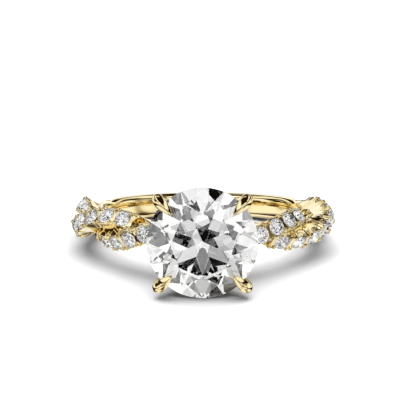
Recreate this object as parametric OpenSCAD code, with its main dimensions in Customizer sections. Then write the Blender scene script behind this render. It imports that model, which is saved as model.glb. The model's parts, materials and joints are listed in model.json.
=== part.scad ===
// Twisted shank ring: a round brilliant in a four-claw basket, on two stone-set strands
// that twist round each other on both shoulders and run into a plain rear band.
// It lies on its side as it comes to rest: on the girdle of its stone and the edge of its rear band.
// Lengths are millimetres and angles are degrees.
// The ring is drawn about the origin with its finger hole along Z and its stone towards -Y,
// and rest_pose() then lays it down.

/* [Finger hole] */
// Diameter of the finger hole
bore_d = 16.5; // [15.5:0.1:18]

/* [Centre stone] */
// Diameter of the centre stone at its girdle
stone_d = 8; // [7:0.1:8.6]
// Thickness of the centre stone's girdle
stone_girdle = 0.18; // [0.1:0.02:0.3]
// Height of the centre stone's lower point above the line that the strands wind round
culet_rise = 0.59; // [0.5:0.01:0.9]

/* [Claws and basket] */
// Width of a claw where it passes the girdle
claw_w = 0.86; // [0.7:0.02:1]
// Clearance between a stone and the metal that holds it
seat_gap = 0.04; // [0.03:0.01:0.06]
// Diameter of the wire of the gallery ring between the claws
gallery_wire = 0.76; // [0.6:0.02:0.9]
// Diameter of the wire of the collar that carries the basket on the strands
collar_wire = 0.9; // [0.8:0.02:1.1]
// Diameter of the collar at the middle of its wire
collar_d = 3.1; // [2.9:0.1:3.5]

/* [Strands] */
// Width of a strand across its stones
strand_w = 1.42; // [1.4:0.02:1.6]
// Height of a strand's stone-set face above the line that it winds along
strand_face = 0.72; // [0.66:0.02:0.8]
// Depth of a strand below the line that it winds along
strand_depth = 1.5; // [1.4:0.05:1.6]
// Height of the line that the strands wind round above the wall of the finger hole
twist_rise = 1.12; // [1:0.01:1.5]
// How far a strand swings in and out from that line
swing_out = 0.6; // [0.5:0.02:0.7]
// Angle by which a strand's stones face up or down where it lies highest or lowest
strand_roll = 40; // [30:1:45]
// Angle round the ring in which the strands make one whole turn
twist_pitch = 88; // [84:1:92]
// Angle that the twist loses where it passes under the centre stone
twist_lag = 3; // [1:0.5:4]
// Overall width of the twist, over the small claws
twist_w = 3.32; // [3.2:0.02:3.5]

/* [Side stones] */
// Diameter of a side stone at its girdle
side_d = 1.3; // [1.2:0.02:1.34]
// Thickness of a side stone's girdle
side_girdle = 0.05; // [0.03:0.01:0.08]
// Distance between side stones along their strand
side_pitch = 1.57; // [1.54:0.01:1.7]
// Height of the small claws above the side stones' girdles
bead_h = 0.16; // [0.1:0.01:0.2]
// Diameter of the small claws
bead_d = 0.32; // [0.24:0.02:0.36]
// Depth of the notch that opens each seat to both sides
notch_depth = 0.5; // [0.4:0.02:0.6]
// Width of that notch
notch_w = 0.98; // [0.8:0.02:1.04]

/* [Rear band] */
// Width of the rear band
band_w = 2; // [1.8:0.05:2.4]
// Thickness of the rear band
band_t = 1.65; // [1.5:0.05:1.8]
// Radius of the rear band's outer edges
band_edge = 0.7; // [0.4:0.05:0.8]
// Angle from the centre stone at which the strands start to run together
merge_from = 104; // [100:1:110]
// Angle from the centre stone at which the rear band is plain
merge_to = 127; // [122:1:132]

/* [Hidden] */
bore_r = bore_d / 2;
stone_r = stone_d / 2;
side_r = side_d / 2;
band_r = bore_r + band_t;
twist_r = bore_r + twist_rise;

// A small claw, in shares of its diameter: how wide its foot and its tip are, and how much narrower
// than the strand a pair of tips is
BEAD_FOOT = 1.2;
BEAD_TIP = 0.7;
BEAD_INSET = 0.4;

// How far a strand swings to either side: what its face and its claws leave of the twist's overall width
tips_w = strand_w - BEAD_INSET * bead_d;
swing_side = (twist_w - tips_w * cos(strand_roll)) / 2 - (strand_face + bead_h) * sin(strand_roll);

// The cut of every stone, as shares of its girdle radius and as angles in degrees
TABLE = 0.57;
STAR = 0.763;
LOWER = 0.25;
CROWN_SLOPE = tan(34.5);
PAVILION_SLOPE = tan(40.75);
CROWN = (1 - TABLE) * CROWN_SLOPE;

// Distance from the middle of the finger hole to the middle of the centre stone's girdle
stone_reach = twist_r + culet_rise + PAVILION_SLOPE * stone_r + stone_girdle / 2;

// The runs of seats on one half of the ring. Each row is the strand, 0 or 1, the angle of its first seat,
// the seats without a stone that lead in, those that hold a stone, and those without one that lead out.
RUNS = [
    [1, 16.4, 0, 5, 1],
    [0, 31, 1, 8, 1],
    [1, 81, 0, 5, 0]
];

// The angle between neighbouring seats, near enough to find a strand's speed halfway between them
SEAT_STEP = 7;
// How fine the strands are: degrees between their sections, and sides of the round under a strand
SECTION_STEP = 3;
ROUND_SIDES = 6;

// Angle by which the shoulders run on inside the rear band. The strands run on twice as far, so that no two
// ends lie in one plane.
RUN_ON = 1;
// How far the strands' faces have sunk under the rear band's where they end
SUNK = 0.18;
// Size of a shoulder's thin end, as a share of the strand's width and of the rear band's thickness
THIN_END = 1 / 3;
// Metal that is drawn inside the finger hole before the hole is cut
SPARE = 0.5;
EPS = 0.01;

// The strands' windings

// Turn of the strands round each other at an angle from the centre stone
function turn(th) = 90 + 360 / twist_pitch * th * abs(th) / (abs(th) + twist_lag);

// One through the twist, and falling smoothly to zero where the rear band is plain
function wound(th) =
    let (s = min(max((merge_to - abs(th)) / (merge_to - merge_from), 0), 1))
    s * s * (3 - 2 * s);

function outward(th) = [sin(th), -cos(th), 0];
function unit(v) = v / norm(v);

// The line that a strand winds along
function strand_line(strand, th) =
    let (
        p = turn(th) + 180 * strand,
        w = wound(th),
        sunk = band_r - strand_face - SUNK
    )
    (twist_r * w + sunk * (1 - w) + swing_out * w * cos(p)) * outward(th) + [0, 0, swing_side * w * sin(p)];

// The three directions at a point of a strand: along it, across it and out through its stones
function strand_axes(strand, th) =
    let (
        along = unit(strand_line(strand, th + 0.5) - strand_line(strand, th - 0.5)),
        roll = strand_roll * wound(th) * sin(turn(th) + 180 * strand),
        lean = cos(roll) * outward(th) + [0, 0, sin(roll)],
        across = unit(cross(lean, along))
    )
    [along, across, cross(along, across)];

// The middle of a strand's stone-set face
function strand_top(strand, th) = strand_line(strand, th) + strand_face * strand_axes(strand, th)[2];

// Section of a strand, as points across it and out from its line: a flat face, straight sides and
// a round underside
function strand_section() =
    let (half = strand_w / 2)
    concat(
        [[half, strand_face]],
        [[-half, strand_face]],
        [for (i = [0:ROUND_SIDES])
            let (a = 180 + 180 * i / ROUND_SIDES)
            [half * cos(a), half - strand_depth + half * sin(a)]]
    );

// A closed solid swept through a list of sections, each a list of points
module swept(sections) {
    n = len(sections[0]);
    last = len(sections) - 1;
    polyhedron(
        points = [for (s = sections) for (p = s) p],
        faces = concat(
            [[for (j = [0:n - 1]) j]],
            [[for (j = [n - 1:-1:0]) last * n + j]],
            [for (i = [0:last - 1]) for (j = [0:n - 1])
                [i * n + j, (i + 1) * n + j, (i + 1) * n + (j + 1) % n, i * n + (j + 1) % n]]
        ),
        convexity = 10
    );
}

// One side's shoulder, from the rear band's own section down to a thin one inside the strands
module shoulder() {
    steps = ceil((merge_to - merge_from) / SECTION_STEP);
    inner = bore_r - SPARE;
    swept([for (i = [0:steps])
        let (
            th = merge_from + (merge_to + RUN_ON - merge_from) * i / steps,
            w = wound(th),
            half = (band_w / 2 - EPS) * (1 - w) + THIN_END * strand_w * w,
            outer = (band_r - EPS) * (1 - w) + (bore_r + THIN_END * band_t) * w,
            edge = min(band_edge, half - EPS)
        )
        [for (p = concat(
            [[inner, -half], [inner, half]],
            [for (a = [90:-30:0]) [outer - edge + edge * cos(a), half - edge + edge * sin(a)]],
            [for (a = [0:-30:-90]) [outer - edge + edge * cos(a), edge - half + edge * sin(a)]]
        )) p[0] * outward(th) + [0, 0, p[1]]]]);
}

module strand(which) {
    reach = merge_to + 2 * RUN_ON;
    steps = 2 * ceil(reach / SECTION_STEP);
    swept([for (i = [0:steps])
        let (
            th = -reach + 2 * reach * i / steps,
            axes = strand_axes(which, th),
            c = strand_line(which, th)
        )
        [for (p = strand_section()) c + p[0] * axes[1] + p[1] * axes[2]]]);
}

// Angle of the place one side stone further along a strand
function next_angle(strand, th) =
    let (
        halfway = th + SEAT_STEP / 2,
        speed = norm(strand_top(strand, halfway + 0.5) - strand_top(strand, halfway - 0.5))
    )
    th + side_pitch / speed;

// Angles of a number of places along a strand, each one side stone from the last
function places(strand, th, n) =
    n < 1 ? [] : concat([th], places(strand, next_angle(strand, th), n - 1));

// Angles of the pairs of small claws at both ends of a run of places and between them
function between(a) =
    let (last = len(a) - 1)
    concat(
        [(3 * a[0] - a[1]) / 2],
        [for (k = [1:last]) (a[k - 1] + a[k]) / 2],
        [(3 * a[last] - a[last - 1]) / 2]
    );

// Every seat of one half of the ring, as its strand, its angle and whether it holds a stone
SEATS = [for (run = RUNS)
    let (a = places(run[0], run[1], run[2] + run[3] + run[4]))
    for (k = [0:len(a) - 1]) [run[0], a[k], k >= run[2] && k < run[2] + run[3]]];
STONES = [for (half = [0, 1]) for (s = SEATS) if (s[2]) [half, s[0], s[1]]];

// Carries a shape to a point of a strand's face, with X along the strand and Z out of it
module on_strand(strand, th) {
    axes = strand_axes(strand, th);
    o = strand_top(strand, th);
    multmatrix([
        [axes[0][0], axes[1][0], axes[2][0], o[0]],
        [axes[0][1], axes[1][1], axes[2][1], o[1]],
        [axes[0][2], axes[1][2], axes[2][2], o[2]],
        [0, 0, 0, 1]
    ]) children();
}

// The right half of the ring is the left half turned round the centre stone's axis
module both_halves() {
    for (half = [0, 1]) rotate([0, 180 * half, 0]) children();
}

// The room that a side stone takes, and the notch that opens it to both sides
module seat_cut() {
    ledge = -side_girdle - seat_gap;
    r = side_r + seat_gap;
    half = notch_w / 2;
    rotate_extrude($fn = 12) polygon([[0, ledge - r * PAVILION_SLOPE], [r, ledge], [r, side_r], [0, side_r]]);
    rotate([90, 0, 0]) linear_extrude(strand_w + 2 * seat_gap, center = true)
        polygon([[-half, bead_h], [-half, ledge], [0, -notch_depth], [half, ledge], [half, bead_h]]);
}

// A pair of small claws, one at each side of the strand
module bead_pair() {
    for (side = [-1, 1])
        translate([0, side * (tips_w - BEAD_TIP * bead_d) / 2, -bead_d])
            cylinder(d1 = BEAD_FOOT * bead_d, d2 = BEAD_TIP * bead_d, h = bead_d + bead_h, $fn = 6);
}

module beads() {
    for (run = RUNS)
        for (a = between(places(run[0], run[1], run[2] + run[3] + run[4])))
            on_strand(run[0], a) bead_pair();
}

// The two strands with their seats, dressed to the stated width
module twist() {
    resize([0, 0, twist_w]) difference() {
        union() {
            strand(0);
            strand(1);
            both_halves() shoulder();
            both_halves() beads();
        }
        both_halves() for (s = SEATS) on_strand(s[0], s[1]) seat_cut();
    }
}

// The plain part of the shank, which goes round the back of the finger
module rear_band() {
    half = band_w / 2;
    rotate([0, 0, merge_to - 90])
        rotate_extrude(angle = 360 - 2 * merge_to, $fn = 128)
            union() {
                translate([bore_r - SPARE, -half]) square([SPARE + band_t - band_edge, band_w]);
                translate([bore_r, band_edge - half]) square([band_t, band_w - 2 * band_edge]);
                for (side = [-1, 1])
                    translate([band_r - band_edge, side * (half - band_edge)]) circle(band_edge, $fn = 64);
            }
}

// The basket, drawn with the centre stone's axis along Z and its girdle at Z = 0

// A claw's line and section. Each row is its distance from the stone's axis and its height above the girdle, as
// shares of the girdle radius, and its width and thickness, as shares of a claw's width.
CLAW = [
    [0.40, -0.860, 0.90, 0.90],
    [0.58, -0.600, 0.86, 0.86],
    [0.82, -0.330, 0.90, 0.90],
    [1.05, -0.140, 0.96, 0.96],
    [1.13, -0.020, 1.00, 1.00],
    [1.13, 0.080, 1.00, 0.96],
    [1.08, 0.160, 1.00, 0.84],
    [0.99, 0.208, 0.90, 0.70],
    [0.90, 0.235, 0.66, 0.52],
    [0.82, 0.262, 0.38, 0.36],
    [0.76, 0.285, 0.10, 0.20]
];
CLAW_SIDES = 10;

module claw() {
    last = len(CLAW) - 1;
    swept([for (i = [0:last])
        let (
            row = CLAW[i],
            before = CLAW[max(i - 1, 0)],
            after = CLAW[min(i + 1, last)],
            along = unit([after[0] - before[0], after[1] - before[1]])
        )
        [for (j = [0:CLAW_SIDES - 1])
            let (
                a = 360 * j / CLAW_SIDES,
                out = claw_w / 2 * row[3] * cos(a)
            )
            [
                row[0] * stone_r + out * along[1],
                claw_w / 2 * row[2] * sin(a),
                row[1] * stone_r - out * along[0]
            ]]]);
}

module wire_ring(d, wire) {
    rotate_extrude($fn = 64) translate([d / 2, 0]) circle(wire / 2, $fn = 24);
}

// Takes a shape from the stone's own axis to its place on the ring
module at_stone() {
    translate([0, -stone_reach, 0]) rotate([90, 0, 0]) children();
}

module basket() {
    // The gallery ring runs through the middle of the claws' third section from their foot
    gallery = CLAW[2];
    at_stone() {
        for (i = [0:3]) rotate([0, 0, 45 + 90 * i]) claw();
        translate([0, 0, gallery[1] * stone_r - gallery_wire / 2])
            wire_ring(2 * gallery[0] * stone_r - gallery_wire, gallery_wire);
        translate([0, 0, CLAW[0][1] * stone_r]) wire_ring(collar_d, collar_wire);
    }
}

// The points of a stone's girdle, table or other ring of corners
function corners(n, r, z, first = 0) =
    [for (i = [0:n - 1]) let (a = first + 360 * i / n) [r * cos(a), r * sin(a), z]];

// The smallest body with flat faces that holds all its points, which is what a lapidary cuts
module faceted(points) {
    hull() polyhedron(points, [[for (i = [0:len(points) - 1]) i]]);
}

// A full brilliant of girdle radius r about its own axis, with the middle of its girdle at Z = 0
module full_brilliant(r, girdle, sides) {
    edge = girdle / 2;
    faceted(concat(
        corners(8, TABLE * r, edge + CROWN * r),
        corners(8, STAR * r, edge + (1 - STAR * cos(22.5)) * CROWN_SLOPE * r, 22.5),
        corners(sides, r, edge),
        corners(sides, r, -edge),
        corners(8, LOWER * r, -edge - (1 - LOWER * cos(22.5)) * PAVILION_SLOPE * r, 22.5),
        [[0, 0, -edge - PAVILION_SLOPE * r]]
    ));
}

// A single cut: a table with eight facets over the girdle and eight under it
module single_cut(r, girdle) {
    faceted(concat(
        corners(8, TABLE * r, CROWN * r),
        corners(8, r, 0),
        corners(8, r, -girdle),
        [[0, 0, -girdle - PAVILION_SLOPE * r]]
    ));
}

// The ring as it rests: its stone's girdle and its rear band's edge both meet the surface.
// The tilt solves girdle_drop * cos(t) - span * sin(t) = band_edge.
girdle_drop = stone_r - band_w / 2 + band_edge;
span = stone_reach - stone_girdle / 2 + band_r - band_edge;
rest_tilt = acos(band_edge / norm([girdle_drop, span])) - atan2(span, girdle_drop);
rest_lift = stone_r * cos(rest_tilt) - (stone_reach - stone_girdle / 2) * sin(rest_tilt);
front = (stone_reach + stone_girdle / 2 + CROWN * stone_r) * cos(rest_tilt) + TABLE * stone_r * sin(rest_tilt);
rear = (band_r - band_edge) * cos(rest_tilt) + (band_w / 2 - band_edge) * sin(rest_tilt) + band_edge;

module rest_pose() {
    translate([0, (front - rear) / 2, rest_lift]) rotate([-rest_tilt, 0, 0]) children();
}

module mounting() {
    color("goldenrod") rest_pose() difference() {
        union() {
            twist();
            rear_band();
            basket();
        }
        cylinder(r = bore_r, h = bore_d, center = true, $fn = 128);
    }
}

module centre_stone() {
    color("whitesmoke") rest_pose() at_stone() full_brilliant(stone_r, stone_girdle, 32);
}

module side_stone(seat) {
    color("white") rest_pose() rotate([0, 180 * seat[0], 0]) on_strand(seat[1], seat[2])
        single_cut(side_r, side_girdle);
}

function side_name(i) = str("side_stone_", i < 9 ? "0" : "", i + 1);

mounting();
centre_stone();
for (i = [0:len(STONES) - 1])
    side_stone(STONES[i]);
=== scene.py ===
"""Looks of the twisted shank ring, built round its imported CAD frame.

Pieces are drawn in millimetres in the ring's own frame, with the finger hole along Z and the stone towards -Y,
and laid_down() then brings each one to metres and to where the ring lies.
"""
import json
import math

import bmesh
import bpy
from mathutils import Matrix, Vector


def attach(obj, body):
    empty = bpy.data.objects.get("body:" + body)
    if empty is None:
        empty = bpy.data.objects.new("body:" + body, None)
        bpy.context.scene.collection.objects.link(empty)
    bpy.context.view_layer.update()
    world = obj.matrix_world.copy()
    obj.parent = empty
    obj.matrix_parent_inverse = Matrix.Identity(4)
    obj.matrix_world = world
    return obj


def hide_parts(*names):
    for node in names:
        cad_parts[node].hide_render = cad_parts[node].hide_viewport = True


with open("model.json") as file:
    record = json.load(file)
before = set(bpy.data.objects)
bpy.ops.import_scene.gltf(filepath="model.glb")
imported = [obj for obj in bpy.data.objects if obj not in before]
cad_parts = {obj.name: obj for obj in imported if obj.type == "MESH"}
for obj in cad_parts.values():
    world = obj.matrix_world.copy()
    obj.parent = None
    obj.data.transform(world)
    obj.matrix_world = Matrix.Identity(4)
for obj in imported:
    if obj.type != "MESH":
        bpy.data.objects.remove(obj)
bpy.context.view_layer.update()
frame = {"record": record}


# ---- Camera ----
# A long lens a hand's breadth in front of the stone and a little above it. The ring's middle lies right of
# and below the middle of the picture.
MM = 0.001
finger_hole = next(m for m in frame["record"]["mounts"] if m["name"] == "finger_hole")
hole_middle = Vector(finger_hole["pos_m"])

CAMERA_DISTANCE = 100.4 * MM
CAMERA_ELEVATION = math.radians(15.46)
CAMERA_SIDE = math.radians(0.12)
SENSOR_WIDTH = 36.0
LENS_LENGTH = 109.5
NEAREST_SEEN, FARTHEST_SEEN = 5 * MM, 10.0
PICTURE_WIDTH = 400
# where the middle of the finger hole shows, in pixels right of and below the middle of the picture
HOLE_RIGHT, HOLE_BELOW = 2.92, 17.11

bpy.ops.object.camera_add()
camera = bpy.context.object
camera.name = "camera"
camera.data.sensor_width = SENSOR_WIDTH
camera.data.lens = LENS_LENGTH
camera.data.clip_start, camera.data.clip_end = NEAREST_SEEN, FARTHEST_SEEN
focal_pixels = LENS_LENGTH / SENSOR_WIDTH * PICTURE_WIDTH

back = Vector((
    math.sin(CAMERA_SIDE) * math.cos(CAMERA_ELEVATION),
    -math.cos(CAMERA_SIDE) * math.cos(CAMERA_ELEVATION),
    math.sin(CAMERA_ELEVATION),
))
look = (-back).to_track_quat("-Z", "Y")
# turned so that the hole's middle leaves the middle of the picture by those pixels
aside = Matrix.Rotation(HOLE_RIGHT / focal_pixels, 4, "Y") @ Matrix.Rotation(HOLE_BELOW / focal_pixels, 4, "X")
camera.matrix_world = Matrix.Translation(hole_middle + back * CAMERA_DISTANCE) @ look.to_matrix().to_4x4() @ aside
bpy.context.scene.camera = camera


# ---- How the ring lies ----
# It lies on the girdle of its stone and the edge of its rear band, so its finger hole leans back a little.
hole_axis = Vector(finger_hole["axis"]).normalized()
lean = Vector((0, 0, 1)).rotation_difference(hole_axis).to_matrix().to_4x4()
LAID = Matrix.Translation(hole_middle) @ lean @ Matrix.Scale(MM, 4)
HALF_TURN = Matrix.Rotation(math.pi, 4, "Y")


def laid_down(piece):
    """Brings a piece drawn in millimetres in the ring's own frame to its place, and rides it on the ring."""
    piece.data.transform(LAID @ piece.matrix_world)
    piece.matrix_world = Matrix.Identity(4)
    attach(piece, "root")
    return piece


def alone(piece):
    """Selects one object and nothing else."""
    bpy.ops.object.select_all(action="DESELECT")
    piece.select_set(True)
    bpy.context.view_layer.objects.active = piece
    return piece


# ---- Polished yellow gold ----
# 18 carat yellow gold, cast, filed and buffed to a mirror. It gives the eye a pale champagne where it mirrors
# the lights, a deep olive brown where it mirrors the dark, and the faintest waviness left by the buff.
def linear(hex_colour):
    """An sRGB hex colour as linear red, green, blue and alpha."""
    parts = [int(hex_colour[i:i + 2], 16) / 255 for i in (1, 3, 5)]
    return [c / 12.92 if c <= 0.04045 else ((c + 0.055) / 1.055) ** 2.4 for c in parts] + [1.0]


def node(tree, kind, settings=None, **links):
    """Adds a node, sets its properties and sockets, and links sockets named in links to other nodes' outputs."""
    made = tree.nodes.new(kind)
    for name, value in (settings or {}).items():
        if hasattr(made, name):
            setattr(made, name, value)
        else:
            made.inputs[name].default_value = value
    for name, output in links.items():
        tree.links.new(output, made.inputs[name.replace("_", " ")])
    return made


def new_material(name):
    material = bpy.data.materials.new(name)
    material.use_nodes = True
    material.node_tree.nodes.clear()
    return material, material.node_tree


GOLD_COLOUR = "#F5E4B3"
LEAST_ROUGH, MOST_ROUGH = 0.03, 0.07
# the buff's own lines are some hundredths of a millimetre apart, and are drawn this coarse so that they show
BUFF_LINES, BUFF_DEPTH, BUFF_STRENGTH = 0.35 * MM, 0.02 * MM, 0.04
BUFF_BLOOM = 2.5 * MM

gold, tree = new_material("polished yellow gold")
place = node(tree, "ShaderNodeTexCoord")
bloom = node(tree, "ShaderNodeTexNoise", {"Scale": 1 / BUFF_BLOOM, "Detail": 2.0}, Vector=place.outputs["Object"])
buffed = node(tree, "ShaderNodeMapRange", {"To Min": LEAST_ROUGH, "To Max": MOST_ROUGH}, Value=bloom.outputs["Fac"])
lines = node(tree, "ShaderNodeTexNoise", {"Scale": 1 / BUFF_LINES, "Detail": 1.0}, Vector=place.outputs["Object"])
waves = node(
    tree, "ShaderNodeBump", {"Strength": BUFF_STRENGTH, "Distance": BUFF_DEPTH}, Height=lines.outputs["Fac"]
)
polish = node(
    tree, "ShaderNodeBsdfPrincipled", {"Base Color": linear(GOLD_COLOUR), "Metallic": 1.0},
    Roughness=buffed.outputs["Result"], Normal=waves.outputs["Normal"],
)
node(tree, "ShaderNodeOutputMaterial", Surface=polish.outputs["BSDF"])


# ---- Rear band and shoulders ----
# The plain part of the shank, one cast and filed bar that goes round the back of the finger. Its outer edges
# are well rounded, and at both ends it thins out under the strands, which are soldered to it.
HOLE_R = finger_hole["dims"]["r_mm"]
BAND_W, BAND_T, BAND_EDGE, BAND_INNER_EDGE = 2.0, 1.65, 0.7, 0.5
MERGE_FROM, MERGE_TO = 104.0, 127.0
STRAND_W = 1.42
THIN_END = 1 / 3
# the narrowest flat left between two rounded edges, and the steps round an inner and an outer edge
LEAST_FLAT, INNER_STEPS, OUTER_STEPS = 0.02, 3, 7
BAND_STEP = 2.5
BAND_CREASE = 40


def sin(degrees):
    return math.sin(math.radians(degrees))


def cos(degrees):
    return math.cos(math.radians(degrees))


def wound(angle):
    """One through the twist, and falling smoothly to zero where the rear band is plain."""
    s = min(max((MERGE_TO - abs(angle)) / (MERGE_TO - MERGE_FROM), 0), 1)
    return s * s * (3 - 2 * s)


def outward(angle):
    return Vector((sin(angle), -cos(angle), 0))


def section_corner(middle, radius, first, last, steps):
    """Points on a rounded corner, from one angle to another."""
    turns = [first + (last - first) * i / steps for i in range(steps + 1)]
    return [Vector((middle[0] + radius * cos(a), middle[1] + radius * sin(a))) for a in turns]


def band_section(angle):
    """The band's section at an angle from the stone, as points out from the hole's axis and along it."""
    w = wound(angle if angle <= 180 else 360 - angle)
    half = BAND_W / 2 * (1 - w) + THIN_END * STRAND_W * w
    outer = (HOLE_R + BAND_T) * (1 - w) + (HOLE_R + THIN_END * BAND_T) * w
    edge = min(BAND_EDGE, half - LEAST_FLAT)
    inner = min(BAND_INNER_EDGE, edge / 2)
    return (
        section_corner((HOLE_R + inner, inner - half), inner, 180, 270, INNER_STEPS)
        + section_corner((outer - edge, edge - half), edge, 270, 360, OUTER_STEPS)
        + section_corner((outer - edge, half - edge), edge, 0, 90, OUTER_STEPS)
        + section_corner((HOLE_R + inner, half - inner), inner, 90, 180, INNER_STEPS)
    )


def swept(name, sections):
    """Extrudes a closed section through a list of places and rounds it off as one closed skin."""
    bpy.ops.object.select_all(action="DESELECT")
    bpy.ops.mesh.primitive_circle_add(vertices=len(sections[0]), fill_type="NGON")
    piece = bpy.context.object
    piece.name = name
    bpy.ops.object.mode_set(mode="EDIT")
    skin = bmesh.from_edit_mesh(piece.data)
    skin.verts.ensure_lookup_table()
    order = skin.verts.layers.int.new("order")
    for i, corner in enumerate(skin.verts):
        corner[order] = i
        corner.co = sections[0][i]
    for section in sections[1:]:
        bpy.ops.mesh.extrude_region_move()
        skin = bmesh.from_edit_mesh(piece.data)
        order = skin.verts.layers.int["order"]
        for corner in skin.verts:
            if corner.select:
                corner.co = section[corner[order]]
    bpy.ops.mesh.select_all(action="SELECT")
    bpy.ops.mesh.normals_make_consistent(inside=False)
    bpy.ops.object.mode_set(mode="OBJECT")
    return piece


angles = [MERGE_FROM + BAND_STEP * i for i in range(int((360 - 2 * MERGE_FROM) / BAND_STEP) + 1)]
angles[-1] = 360 - MERGE_FROM
rear_band = swept("rear_band", [
    [p.x * outward(angle) + Vector((0, 0, p.y)) for p in band_section(angle)] for angle in angles
])
bpy.ops.object.shade_smooth_by_angle(angle=math.radians(BAND_CREASE))
rear_band.data.materials.append(gold)
laid_down(rear_band)
# the stones throw back the light that they gather, and no gold shows through them
rear_band.visible_transmission = False
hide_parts("mounting")


# ---- Stone-set strands ----
# Two cast bars of flat-faced, round-backed section that wind round each other down both shoulders. They are
# soldered to the rear band, turned out to the finger's size, and then cut with a seat for each stone.
STRAND_FACE, STRAND_DEPTH, FACE_EDGE = 0.72, 1.5, 0.1
TWIST_R, SWING_OUT, SWING_SIDE, STRAND_ROLL = HOLE_R + 1.12, 0.6, 0.6, 40.0
TWIST_PITCH, TWIST_LAG = 88.0, 3.0
STRAND_SUNK = 0.18
# how far the strands run on under the rear band, the step between sections, and the steps round a face edge and
# round the back, in degrees and counts
STRAND_OVERRUN, STRAND_STEP, FACE_STEPS, BACK_STEPS = 2, 1.0, 3, 12
STRAND_CREASE = 30
SIDE_D, SIDE_GIRDLE, SEAT_GAP = 1.3, 0.05, 0.03
SIDE_PITCH, SEAT_STEP = 1.57, 7.0
NOTCH_W, NOTCH_DEPTH, NOTCH_PAST = 0.94, 0.5, 0.15
SAW_W, SAW_DEPTH, SAW_LENGTH = 0.18, 0.3, 0.3
HAIR = 0.01
# the angle either way over which a direction along a strand is taken
NEARBY = 0.5
# the runs of seats on one half: strand, angle of the first seat, bare seats, seats with a stone, bare seats
SEAT_RUNS = (
    (1, 16.4, 0, 5, 1),
    (0, 31.0, 1, 8, 1),
    (1, 81.0, 0, 5, 0),
)


def turn(angle):
    """Turn of the strands round each other at an angle from the centre stone."""
    return 90 + 360 / TWIST_PITCH * angle * abs(angle) / (abs(angle) + TWIST_LAG)


def strand_line(strand, angle):
    """The line that a strand winds along."""
    phase, w = turn(angle) + 180 * strand, wound(angle)
    out = TWIST_R * w + (HOLE_R + BAND_T - STRAND_FACE - STRAND_SUNK) * (1 - w) + SWING_OUT * w * cos(phase)
    return out * outward(angle) + Vector((0, 0, SWING_SIDE * w * sin(phase)))


def strand_axes(strand, angle):
    """The directions along a strand, across it and out through its stones."""
    along = (strand_line(strand, angle + NEARBY) - strand_line(strand, angle - NEARBY)).normalized()
    roll = STRAND_ROLL * wound(angle) * sin(turn(angle) + 180 * strand)
    facing = cos(roll) * outward(angle) + Vector((0, 0, sin(roll)))
    across = facing.cross(along).normalized()
    return along, across, along.cross(across)


def on_strand(strand, angle, half=0):
    """Takes a shape to a place on a strand's face, with X along the strand and Z out of it."""
    along, across, out = strand_axes(strand, angle)
    place = Matrix((along, across, out)).transposed().to_4x4()
    place.translation = strand_line(strand, angle) + STRAND_FACE * out
    return HALF_TURN @ place if half else place


def next_seat(strand, angle):
    """Angle of the place one stone further along a strand."""
    halfway = angle + SEAT_STEP / 2
    step = on_strand(strand, halfway + NEARBY).translation - on_strand(strand, halfway - NEARBY).translation
    return angle + 2 * NEARBY * SIDE_PITCH / step.length


def copies(name, pattern, places):
    """Copies a piece to several places, each with its own mesh, and joins them as one piece."""
    made = []
    for place in places:
        other = pattern.copy()
        other.data = pattern.data.copy()
        other.data.transform(place @ pattern.matrix_world)
        other.matrix_world = Matrix.Identity(4)
        bpy.context.collection.objects.link(other)
        made.append(other)
    alone(made[0])
    for other in made:
        other.select_set(True)
    bpy.ops.object.join()
    made[0].name = name
    return made[0]


def cut(piece, cutter):
    """Cuts one piece out of another and leaves the cutter."""
    alone(piece)
    bpy.ops.object.modifier_add(type="BOOLEAN")
    modifier = piece.modifiers[-1]
    modifier.operation, modifier.solver, modifier.object = "DIFFERENCE", "FAST", cutter
    bpy.ops.object.modifier_apply(modifier=modifier.name)


# seats as (strand, angle, whether it holds a stone), and the gaps between neighbouring seats as (strand, angle)
seats, gaps = [], []
for strand, first, lead_in, stones, lead_out in SEAT_RUNS:
    angles = [first]
    while len(angles) < lead_in + stones + lead_out:
        angles.append(next_seat(strand, angles[-1]))
    seats += [(strand, angle, lead_in <= i < lead_in + stones) for i, angle in enumerate(angles)]
    angles = [2 * angles[0] - angles[1]] + angles + [2 * angles[-1] - angles[-2]]
    gaps += [(strand, (a + b) / 2) for a, b in zip(angles, angles[1:])]

half_w = STRAND_W / 2
profile = (
    section_corner((half_w - FACE_EDGE, STRAND_FACE - FACE_EDGE), FACE_EDGE, 0, 90, FACE_STEPS)
    + section_corner((FACE_EDGE - half_w, STRAND_FACE - FACE_EDGE), FACE_EDGE, 90, 180, FACE_STEPS)
    + section_corner((0, half_w - STRAND_DEPTH), half_w, 180, 360, BACK_STEPS)
)
strand_bars = []
for strand in (0, 1):
    reach = MERGE_TO + STRAND_OVERRUN
    steps = int(2 * reach / STRAND_STEP)
    sections = []
    for i in range(steps + 1):
        angle = -reach + 2 * reach * i / steps
        line, (_, across, out) = strand_line(strand, angle), strand_axes(strand, angle)
        sections.append([line + p.x * across + p.y * out for p in profile])
    strand_bars.append(swept(f"strand_{strand}", sections))

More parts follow.
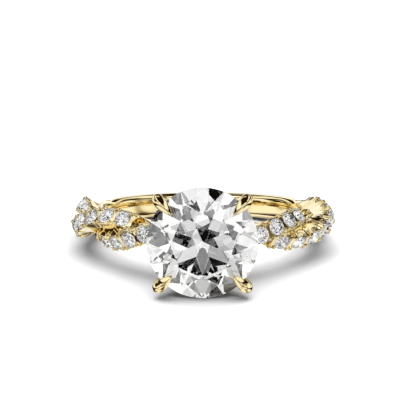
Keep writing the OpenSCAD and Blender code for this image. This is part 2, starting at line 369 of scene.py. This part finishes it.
# the setter's burr, which is a cylinder drawn to a point, cuts the room of each stone
BURR_ANGLE, BURR_SHANK, BURR_SIDES = 40.75, 0.7, 24
burr_r = SIDE_D / 2 + SEAT_GAP
burr_ledge = -SIDE_GIRDLE - SEAT_GAP
bpy.ops.object.select_all(action="DESELECT")
bpy.ops.mesh.primitive_cylinder_add(
    vertices=BURR_SIDES, radius=burr_r, depth=BURR_SHANK, location=(0, 0, burr_ledge + BURR_SHANK / 2)
)
burr = bpy.context.object
bpy.ops.object.mode_set(mode="EDIT")
bpy.ops.mesh.select_mode(type="FACE")
bpy.ops.mesh.select_all(action="DESELECT")
for face in bmesh.from_edit_mesh(burr.data).faces:
    face.select = face.normal.z < -0.9
burr_point = burr_r * math.tan(math.radians(BURR_ANGLE))
bpy.ops.mesh.extrude_region_move(TRANSFORM_OT_translate={"value": (0, 0, -burr_point)})
bpy.ops.mesh.merge(type="CENTER")
bpy.ops.object.mode_set(mode="OBJECT")
burrs = copies("burrs", burr, [on_strand(s, a, half) for half in (0, 1) for s, a, _ in seats])

# a round file opens each seat to both sides
bpy.ops.object.select_all(action="DESELECT")
bpy.ops.mesh.primitive_cylinder_add(
    vertices=BURR_SIDES, radius=NOTCH_W / 2, depth=STRAND_W + 2 * NOTCH_PAST, rotation=(math.pi / 2, 0, 0),
    location=(0, 0, NOTCH_W / 2 - NOTCH_DEPTH),
)
round_file = bpy.context.object

# a saw parts the claws between neighbouring stones, from each side of the strand
bpy.ops.object.select_all(action="DESELECT")
bpy.ops.mesh.primitive_cube_add(size=1, location=(0, 0, -SAW_DEPTH / 2), scale=(SAW_W, SAW_LENGTH, 2 * SAW_DEPTH))
saw = bpy.context.object

# the finger hole is reamed last, a hair wide, so that the rear band's own wall shows where both lie in one place
REAMER_SIDES, REAMER_LENGTH = 256, 8
bpy.ops.object.select_all(action="DESELECT")
bpy.ops.mesh.primitive_cylinder_add(vertices=REAMER_SIDES, radius=HOLE_R + HAIR, depth=REAMER_LENGTH)
reamer = bpy.context.object

for strand, bar in enumerate(strand_bars):
    own_seats = [on_strand(s, a, half) for half in (0, 1) for s, a, _ in seats if s == strand]
    own_gaps = [on_strand(s, a, half) for half in (0, 1) for s, a in gaps if s == strand]
    edges = [place @ Matrix.Translation((0, side * half_w, 0)) for place in own_gaps for side in (-1, 1)]
    filings = copies("filings", round_file, own_seats)
    saw_cuts = copies("saw_cuts", saw, edges)
    for cutter in (burrs, reamer, filings, saw_cuts):
        cut(bar, cutter)
    bpy.data.objects.remove(filings)
    bpy.data.objects.remove(saw_cuts)
for tool in (burr, burrs, round_file, saw, reamer):
    bpy.data.objects.remove(tool)

# the small claws, pushed up out of the metal at the corners of each seat and rounded over the girdles
CLAW_R, CLAW_FOOT, CLAW_TOP = 0.16, -0.6, 0.16
CLAW_ALONG, CLAW_ACROSS = 0.21, 0.57
SMALL_CLAW_SIDES, ROUNDED_SHARE, ROUNDING_STEPS = 10, 0.8, 3
bpy.ops.object.select_all(action="DESELECT")
bpy.ops.mesh.primitive_cylinder_add(
    vertices=SMALL_CLAW_SIDES, radius=CLAW_R, depth=CLAW_TOP - CLAW_FOOT, location=(0, 0, (CLAW_TOP + CLAW_FOOT) / 2)
)
small_claw = bpy.context.object
bpy.ops.object.mode_set(mode="EDIT")
bpy.ops.mesh.select_mode(type="FACE")
bpy.ops.mesh.select_all(action="DESELECT")
for face in bmesh.from_edit_mesh(small_claw.data).faces:
    face.select = face.normal.z > 0.9
bpy.ops.mesh.bevel(offset=CLAW_R * ROUNDED_SHARE, segments=ROUNDING_STEPS, affect="EDGES")
bpy.ops.object.mode_set(mode="OBJECT")
claw_places = [
    on_strand(s, a, half) @ Matrix.Translation((x * CLAW_ALONG, y * CLAW_ACROSS, 0))
    for half in (0, 1) for s, a in gaps for x in (-1, 1) for y in (-1, 1)
]
small_claws = copies("small_claws", small_claw, claw_places)
bpy.data.objects.remove(small_claw)

alone(strand_bars[0])
strand_bars[1].select_set(True)
small_claws.select_set(True)
bpy.ops.object.join()
strands = strand_bars[0]
strands.name = "stone_set_strands"
bpy.ops.object.shade_smooth_by_angle(angle=math.radians(STRAND_CREASE))
strands.data.materials.append(gold)
laid_down(strands)
strands.visible_transmission = False
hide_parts("mounting")


# ---- Basket ----
# Four bent wires round a gallery ring and a collar, all cast in one and soldered on the strands. Each wire is
# pushed over the stone's girdle and filed to a teardrop with a crest along its middle.
STONE_D, STONE_GIRDLE, STONE_REACH = 8.0, 0.18, 13.4966
STONE_R = STONE_D / 2
CLAW_W = 0.86
GALLERY_WIRE, COLLAR_WIRE, COLLAR_D = 0.76, 0.9, 3.1
# sides round a claw and round a wire, steps round a ring, and how narrow the crest is
CLAW_SIDES, WIRE_SIDES, RING_STEPS, CREST_SHARPNESS = 20, 20, 96, 6
BASKET_CREASE = 50
# distance from the stone's axis and height over the girdle, as shares of the girdle radius; width and thickness,
# as shares of a claw's width; and how far the crest is filed up, as a share of the thickness
CLAW_LINE = (
    (0.40, -0.860, 0.90, 0.90, 0.0),
    (0.58, -0.600, 0.86, 0.86, 0.0),
    (0.82, -0.330, 0.90, 0.90, 0.0),
    (1.05, -0.140, 0.96, 0.96, 0.0),
    (1.13, -0.020, 1.00, 1.00, 0.0),
    (1.13, 0.080, 1.04, 0.96, 0.1),
    (1.08, 0.160, 1.10, 0.84, 0.3),
    (0.99, 0.208, 1.00, 0.72, 0.5),
    (0.90, 0.238, 0.72, 0.56, 0.6),
    (0.82, 0.262, 0.40, 0.38, 0.5),
    (0.76, 0.285, 0.10, 0.20, 0.0),
)
AT_STONE = Matrix.Translation((0, -STONE_REACH, 0)) @ Matrix.Rotation(math.pi / 2, 4, "X")


def claw_section(i):
    """The section of a claw at one row of its line."""
    row, before, after = CLAW_LINE[i], CLAW_LINE[max(i - 1, 0)], CLAW_LINE[min(i + 1, len(CLAW_LINE) - 1)]
    along = Vector((after[0] - before[0], after[1] - before[1])).normalized()
    points = []
    for j in range(CLAW_SIDES):
        a = 360 * j / CLAW_SIDES
        crest = 1 + row[4] * max(cos(a), 0) ** CREST_SHARPNESS
        out, side = CLAW_W / 2 * row[3] * cos(a) * crest, CLAW_W / 2 * row[2] * sin(a)
        points.append(Vector((row[0] * STONE_R + out * along.y, side, row[1] * STONE_R - out * along.x)))
    return points


claw = swept("claw", [claw_section(i) for i in range(len(CLAW_LINE))])
bpy.ops.object.modifier_add(type="SUBSURF")
claw.modifiers[-1].levels = claw.modifiers[-1].render_levels = 1
bpy.ops.object.modifier_apply(modifier=claw.modifiers[-1].name)
basket = copies("basket", claw, [AT_STONE @ Matrix.Rotation(math.radians(45 + 90 * i), 4, "Z") for i in range(4)])
bpy.data.objects.remove(claw)

gallery = CLAW_LINE[2]
rings = (
    (gallery[0] * STONE_R - GALLERY_WIRE / 2, GALLERY_WIRE, gallery[1] * STONE_R - GALLERY_WIRE / 2),
    (COLLAR_D / 2, COLLAR_WIRE, CLAW_LINE[0][1] * STONE_R),
)
for radius, wire, height in rings:
    bpy.ops.object.select_all(action="DESELECT")
    bpy.ops.mesh.primitive_torus_add(
        major_radius=radius, minor_radius=wire / 2, major_segments=RING_STEPS, minor_segments=WIRE_SIDES,
        location=(0, 0, height),
    )
    ring = bpy.context.object
    ring.data.transform(AT_STONE @ ring.matrix_world)
    ring.matrix_world = Matrix.Identity(4)
    alone(basket)
    ring.select_set(True)
    bpy.ops.object.join()
bpy.ops.object.shade_smooth_by_angle(angle=math.radians(BASKET_CREASE))
basket.data.materials.append(gold)
laid_down(basket)
basket.visible_transmission = False
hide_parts("mounting")


# ---- Brilliant-cut diamonds ----
# Natural diamonds cut as full round brilliants: a table and 32 facets over the girdle, 24 facets under it.
# Each facet is ground flat, so it gives the eye one clear patch of light, grey or black with sharp edges.
# corners of the table, points of the star facets and ends of the lower half facets, as shares of the girdle radius
TABLE, STAR, LOWER = 0.57, 0.763, 0.40
# angle between neighbouring main facets, and the sides of the preforms
MAIN_STEP, CENTRE_SIDES, SIDE_SIDES = 45, 64, 32
REFRACTION = 2.417
CROWN_ANGLE, PAVILION_ANGLE = 34.5, 40.75
CROWN_SLOPE = math.tan(math.radians(CROWN_ANGLE))
PAVILION_SLOPE = math.tan(math.radians(PAVILION_ANGLE))

diamond, tree = new_material("brilliant-cut diamond")
clear = node(
    tree, "ShaderNodeBsdfPrincipled",
    {"Base Color": linear("#FFFFFF"), "Roughness": 0.0, "IOR": REFRACTION, "Transmission Weight": 1.0},
)
node(tree, "ShaderNodeOutputMaterial", Surface=clear.outputs["BSDF"])


def ground(name, radius, girdle, sides):
    """A round brilliant about the Z axis, ground facet by facet from a round preform, with its girdle at Z = 0."""
    top, bottom = girdle / 2, -girdle / 2
    table_height = top + (1 - TABLE) * CROWN_SLOPE * radius
    star_height = top + (1 - STAR * cos(MAIN_STEP / 2)) * CROWN_SLOPE * radius
    lower_height = bottom - (1 - LOWER * cos(MAIN_STEP / 2)) * PAVILION_SLOPE * radius
    bpy.ops.object.select_all(action="DESELECT")
    bpy.ops.mesh.primitive_cylinder_add(vertices=sides, radius=radius, depth=2 * radius)
    stone = bpy.context.object
    stone.name = name

    def at(share, angle, height):
        return Vector((share * radius * cos(angle), share * radius * sin(angle), height))

    facets = [(at(0, 0, table_height), Vector((0, 0, 1)))]
    for main in range(0, 360, MAIN_STEP):
        for slope, height, way in ((CROWN_ANGLE, top, 1), (PAVILION_ANGLE, bottom, -1)):
            out = Vector((sin(slope) * cos(main), sin(slope) * sin(main), way * cos(slope)))
            facets.append((at(1, main, height), out))
        half = main + MAIN_STEP / 2
        star, lower = at(STAR, half, star_height), at(LOWER, half, lower_height)
        corners = [(at(TABLE, main, table_height), at(TABLE, main + MAIN_STEP, table_height), star)]
        for other in (main, main + MAIN_STEP):
            corners.append((star, at(1, other, top), at(1, half, top)))
            corners.append((lower, at(1, other, bottom), at(1, half, bottom)))
        for a, b, c in corners:
            out = (b - a).cross(c - a).normalized()
            facets.append((a, out if out.dot(a + b + c) > 0 else -out))
    bpy.ops.object.mode_set(mode="EDIT")
    for point, out in facets:
        bpy.ops.mesh.select_all(action="SELECT")
        bpy.ops.mesh.bisect(plane_co=point, plane_no=out, use_fill=True, clear_outer=True, threshold=1e-5)
    bpy.ops.mesh.select_all(action="SELECT")
    bpy.ops.mesh.dissolve_limited(angle_limit=math.radians(0.3), delimit=set())
    bpy.ops.mesh.normals_make_consistent(inside=False)
    bpy.ops.object.mode_set(mode="OBJECT")
    stone.data.materials.append(diamond)
    return stone


centre_stone = ground("centre_brilliant", STONE_R, STONE_GIRDLE, CENTRE_SIDES)
centre_stone.data.transform(AT_STONE)
laid_down(centre_stone)
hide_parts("centre_stone")

side_pattern = ground("side_pattern", SIDE_D / 2, SIDE_GIRDLE, SIDE_SIDES)
set_down = Matrix.Translation((0, 0, -SIDE_GIRDLE / 2))
stone_places = [on_strand(s, a, half) @ set_down for half in (0, 1) for s, a, holds_stone in seats if holds_stone]
for i, place in enumerate(stone_places):
    stone = copies(f"side_brilliant_{i + 1:02d}", side_pattern, [place])
    laid_down(stone)
    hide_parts(f"side_stone_{i + 1:02d}")
bpy.data.objects.remove(side_pattern)


# ---- Studio ----
# A plain white floor under one large soft box, straight above the ring. The gold mirrors a white room with dark
# cloths in front of it, above it and in two belts round it, and the cut stones gather light from a patchwork of
# lit, grey and dark panels. The floor and the soft box light the ring but aren't mirrored in it.
FLOOR_SIZE = 4.0
PAPER_COLOUR = "#F4F4F4"
bpy.ops.object.select_all(action="DESELECT")
bpy.ops.mesh.primitive_plane_add(size=FLOOR_SIZE)
floor = bpy.context.object
floor.name = "floor"
floor.visible_glossy = floor.visible_transmission = False
paper, tree = new_material("matt white paper")
matt = node(
    tree, "ShaderNodeBsdfPrincipled",
    {"Base Color": linear(PAPER_COLOUR), "Roughness": 0.9, "Specular IOR Level": 0.2},
)
node(tree, "ShaderNodeOutputMaterial", Surface=matt.outputs["BSDF"])
floor.data.materials.append(paper)

SOFT_BOX_WIDTH, SOFT_BOX_HEIGHT, SOFT_BOX_POWER = 0.6, 0.39, 3.1
bpy.ops.object.light_add(type="AREA", location=(0, 0, SOFT_BOX_HEIGHT))
soft_box = bpy.context.object
soft_box.name = "soft_box"
soft_box.data.shape = "SQUARE"
soft_box.data.size = SOFT_BOX_WIDTH
soft_box.data.energy = SOFT_BOX_POWER
soft_box.visible_glossy = soft_box.visible_transmission = False

room = bpy.data.worlds.new("white studio")
room.use_nodes = True
tree = room.node_tree
tree.nodes.clear()
bpy.context.scene.world = room
way = node(tree, "ShaderNodeTexCoord").outputs["Generated"]


def near(azimuth, elevation, inner, outer):
    """One within an angle of a direction and zero outside a wider one. Azimuth 0 is towards the camera."""
    toward = node(tree, "ShaderNodeVectorMath", {"operation": "DOT_PRODUCT"})
    tree.links.new(way, toward.inputs[0])
    toward.inputs[1].default_value = (
        sin(azimuth) * cos(elevation), -cos(azimuth) * cos(elevation), sin(elevation)
    )
    return node(
        tree, "ShaderNodeMapRange",
        {"interpolation_type": "SMOOTHSTEP", "From Min": cos(outer), "From Max": cos(inner)},
        Value=toward.outputs["Value"],
    ).outputs["Result"]


def over(height, edge):
    """One over an elevation and zero under it."""
    return node(
        tree, "ShaderNodeMapRange",
        {
            "interpolation_type": "SMOOTHSTEP",
            "From Min": sin(edge) - BELT_SOFTNESS, "From Max": sin(edge) + BELT_SOFTNESS,
        },
        Value=height,
    ).outputs["Result"]


def hung(walls, mask, cloth, brightness=1):
    """The colour of the room with a cloth or a lit panel hung where the mask is one."""
    mixed = node(tree, "ShaderNodeMix", {"data_type": "RGBA"})
    tree.links.new(mask, mixed.inputs[0])
    tree.links.new(walls, mixed.inputs[6])
    mixed.inputs[7].default_value = [brightness * c for c in linear(cloth)]
    return mixed.outputs[2]


def patchwork(place, scale):
    """Soft patches over all directions, from a place in an endless cloud."""
    moved = node(tree, "ShaderNodeVectorMath", {"operation": "ADD"})
    tree.links.new(way, moved.inputs[0])
    moved.inputs[1].default_value = place
    cloud = node(tree, "ShaderNodeTexNoise", {"Scale": scale, "Detail": 0.0}, Vector=moved.outputs["Vector"])
    return cloud.outputs["Fac"]


def painted(colours, patches, blend="LINEAR"):
    """Colours for the values of a patchwork."""
    ramp = node(tree, "ShaderNodeValToRGB", Fac=patches)
    ramp.color_ramp.interpolation = blend
    for i, (value, colour) in enumerate(colours):
        stop = ramp.color_ramp.elements[i] if i < 2 else ramp.color_ramp.elements.new(value)
        stop.position, stop.color = value, linear(colour)
    return ramp.outputs["Color"]


# what the gold mirrors: walls that fall off from white to warm brown, as patch value and colour
WALLS = (
    (0.36, "#301D03"),
    (0.43, "#B3AA95"),
    (0.50, "#EDECE7"),
    (0.60, "#FFFFFF"),
)
# cloths and lit panels: azimuth, elevation, the angles at which each is full and gone, colour and brightness
HUNG = (
    (0, 85, 32, 36, "#201302", 1),
    (0, 2, 14, 20, "#1A1918", 1),
    (40, 35, 8, 12, "#FFFFFF", 2),
    (-40, 35, 8, 12, "#FFFFFF", 2),
)
# belts of cloth right round: bottom and top edge in degrees over the horizon, and colour
BELTS = (
    (-28, -16, "#382103"),
    (20, 32, "#201302"),
)
BELT_SOFTNESS = 0.03
WALL_LIGHT, WALLS_PLACE, WALLS_SCALE = 1.15, (6, 5, 9), 2.0
mirrored = painted(WALLS, patchwork(WALLS_PLACE, WALLS_SCALE))
for azimuth, elevation, inner, outer, colour, brightness in HUNG:
    mirrored = hung(mirrored, near(azimuth, elevation, inner, outer), colour, brightness)
height = node(tree, "ShaderNodeSeparateXYZ", Vector=way).outputs["Z"]
for bottom, top, cloth in BELTS:
    belt = node(tree, "ShaderNodeMath", {"operation": "SUBTRACT"})
    tree.links.new(over(height, bottom), belt.inputs[0])
    tree.links.new(over(height, top), belt.inputs[1])
    mirrored = hung(mirrored, belt.outputs[0], cloth)

# what the stones gather: lit, grey and dark patches of wall with crisp edges, as patch value and colour
PATCHES = (
    (0.0, "#080808"),
    (0.405, "#4B4B4B"),
    (0.43, "#8C8C8C"),
    (0.455, "#B9B9B9"),
    (0.48, "#DCDCDC"),
    (0.53, "#FFFFFF"),
)
PATCH_LIGHT, PATCHES_PLACE, PATCHES_SCALE = 1.2, (4, 0, 8), 2.4
gathered = painted(PATCHES, patchwork(PATCHES_PLACE, PATCHES_SCALE), "CONSTANT")

# the camera sees plain white, and the floor is lit by an even dome
FLOOR_FILL = 0.42
WHITE = linear("#FFFFFF")
rays = node(tree, "ShaderNodeLightPath")
shown = node(tree, "ShaderNodeBackground", {"Strength": WALL_LIGHT}, Color=mirrored)
for kind, lit in (
    ("Is Transmission Ray", node(tree, "ShaderNodeBackground", {"Strength": PATCH_LIGHT}, Color=gathered)),
    ("Is Diffuse Ray", node(tree, "ShaderNodeBackground", {"Color": WHITE, "Strength": FLOOR_FILL})),
    ("Is Camera Ray", node(tree, "ShaderNodeBackground", {"Color": WHITE, "Strength": 1.0})),
):
    either = node(tree, "ShaderNodeMixShader")
    tree.links.new(rays.outputs[kind], either.inputs[0])
    tree.links.new(shown.outputs[0], either.inputs[1])
    tree.links.new(lit.outputs[0], either.inputs[2])
    shown = either
node(tree, "ShaderNodeOutputWorld", Surface=shown.outputs[0])

scene = bpy.context.scene
scene.view_settings.view_transform = "Standard"
scene.view_settings.look = "None"
scene.cycles.use_denoising = True
scene.cycles.caustics_reflective = scene.cycles.caustics_refractive = False
# light turns many times inside a cut stone before it leaves
scene.cycles.max_bounces = scene.cycles.transmission_bounces = 24
scene.cycles.glossy_bounces = 8
